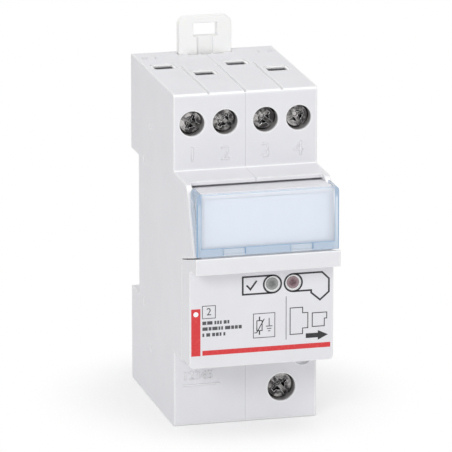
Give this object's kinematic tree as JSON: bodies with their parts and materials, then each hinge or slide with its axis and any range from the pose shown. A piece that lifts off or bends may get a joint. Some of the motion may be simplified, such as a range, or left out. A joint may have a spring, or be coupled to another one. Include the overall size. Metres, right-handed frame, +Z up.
{
  "type": "din rail surge arrester",
  "caption": "Narrow rail-mounted surge arrester with a plug-in cartridge, a clear label flap, status lamps and screw terminals.",
  "frame": {"origin": "on the rail seat, at the middle of the case's width and of the rail's height", "axes": "+X right seen from the front, -Y out of the front, +Y towards the rail and the panel, +Z up"},
  "size_m": [0.0356, 0.066, 0.0923],
  "materials": {
    "case": "fine moulded grain",
    "case_pins": "smooth",
    "busbars": "rolled",
    "contacts": "rolled",
    "clip": "smooth, slightly milky",
    "screws": "turned and plated",
    "clamps": "plated",
    "cartridge_face": "fine moulded grain, printed",
    "cartridge_box": "fine moulded grain",
    "label": "uncoated",
    "green_lens": "polished",
    "red_lens": "polished",
    "board": "lacquered board",
    "green_lamp": "polished",
    "red_lamp": "polished",
    "varistors": "dipped coating",
    "plate": "tinned",
    "gas_tube": "sintered",
    "strips": "rolled",
    "blades": "tinned",
    "flap": "polished, clear with a blue tint"
  },
  "bodies": {
    "case": {"left_shell": "case", "right_shell": "case", "case_pins": "case_pins", "neutral_busbar": "busbars", "live_busbar": "busbars", "earth_strip": "busbars", "neutral_contact": "contacts", "live_contact": "contacts", "earth_contact": "contacts"},
    "clip": {"rail_clip": "clip"},
    "screw_1": {"terminal_screw_1": "screws"},
    "screw_2": {"terminal_screw_2": "screws"},
    "screw_3": {"terminal_screw_3": "screws"},
    "screw_4": {"terminal_screw_4": "screws"},
    "screw_earth": {"earth_screw": "screws"},
    "clamp_body_1": {"clamp_1": "clamps"},
    "clamp_body_2": {"clamp_2": "clamps"},
    "clamp_body_3": {"clamp_3": "clamps"},
    "clamp_body_4": {"clamp_4": "clamps"},
    "clamp_body_earth": {"earth_clamp": "clamps"},
    "cartridge": {"cartridge_front": "cartridge_face", "cartridge_box": "cartridge_box", "label_card": "label", "green_lens": "green_lens", "red_lens": "red_lens", "lamp_board": "board", "green_lamp": "green_lamp", "red_lamp": "red_lamp", "live_varistor": "varistors", "neutral_varistor": "varistors", "centre_plate": "plate", "gas_tube": "gas_tube", "live_release_strip": "strips", "neutral_release_strip": "strips", "earth_link": "strips", "live_blade": "blades", "neutral_blade": "blades", "earth_blade": "blades"},
    "flap": {"label_flap": "flap"}
  },
  "joints": [
    {"name": "clip_slide", "type": "slide", "parent": "case", "child": "clip", "axis": [0, 0, -1], "range_m": [0, 0.003]},
    {"name": "cartridge_slide", "type": "slide", "parent": "case", "child": "cartridge", "axis": [0, -1, 0], "range_m": [0, 0.045]},
    {"name": "flap_hinge", "type": "hinge", "parent": "cartridge", "child": "flap", "pos_m": [0, -0.055, 0.0207], "axis": [-1, 0, 0], "range_deg": [0, 90]},
    {"name": "screw_turn_1", "type": "hinge", "parent": "case", "child": "screw_1", "pos_m": [-0.0132, -0.03, 0.0341], "axis": [0, 1, 0], "range_deg": [0, 2736]},
    {"name": "clamp_slide_1", "type": "slide", "parent": "case", "child": "clamp_body_1", "axis": [0, -1, 0], "range_m": [0, 0.00455]},
    {"name": "screw_turn_2", "type": "hinge", "parent": "case", "child": "screw_2", "pos_m": [-0.005, -0.03, 0.0341], "axis": [0, 1, 0], "range_deg": [0, 2736]},
    {"name": "clamp_slide_2", "type": "slide", "parent": "case", "child": "clamp_body_2", "axis": [0, -1, 0], "range_m": [0, 0.00455]},
    {"name": "screw_turn_3", "type": "hinge", "parent": "case", "child": "screw_3", "pos_m": [0.005, -0.03, 0.0341], "axis": [0, 1, 0], "range_deg": [0, 2736]},
    {"name": "clamp_slide_3", "type": "slide", "parent": "case", "child": "clamp_body_3", "axis": [0, -1, 0], "range_m": [0, 0.00455]},
    {"name": "screw_turn_4", "type": "hinge", "parent": "case", "child": "screw_4", "pos_m": [0.0132, -0.03, 0.0341], "axis": [0, 1, 0], "range_deg": [0, 2736]},
    {"name": "clamp_slide_4", "type": "slide", "parent": "case", "child": "clamp_body_4", "axis": [0, -1, 0], "range_m": [0, 0.00455]},
    {"name": "earth_screw_turn", "type": "hinge", "parent": "case", "child": "screw_earth", "pos_m": [0.0091, -0.03, -0.03335], "axis": [0, 1, 0], "range_deg": [0, 2520]},
    {"name": "earth_clamp_slide", "type": "slide", "parent": "case", "child": "clamp_body_earth", "axis": [0, -1, 0], "range_m": [0, 0.00559]}
  ],
  "couplings": [
    {"joint": "screw_turn_1", "follows": "clamp_slide_1", "rad_per_m": 10472},
    {"joint": "screw_turn_2", "follows": "clamp_slide_2", "rad_per_m": 10472},
    {"joint": "screw_turn_3", "follows": "clamp_slide_3", "rad_per_m": 10472},
    {"joint": "screw_turn_4", "follows": "clamp_slide_4", "rad_per_m": 10472},
    {"joint": "earth_screw_turn", "follows": "earth_clamp_slide", "rad_per_m": 7854}
  ]
}
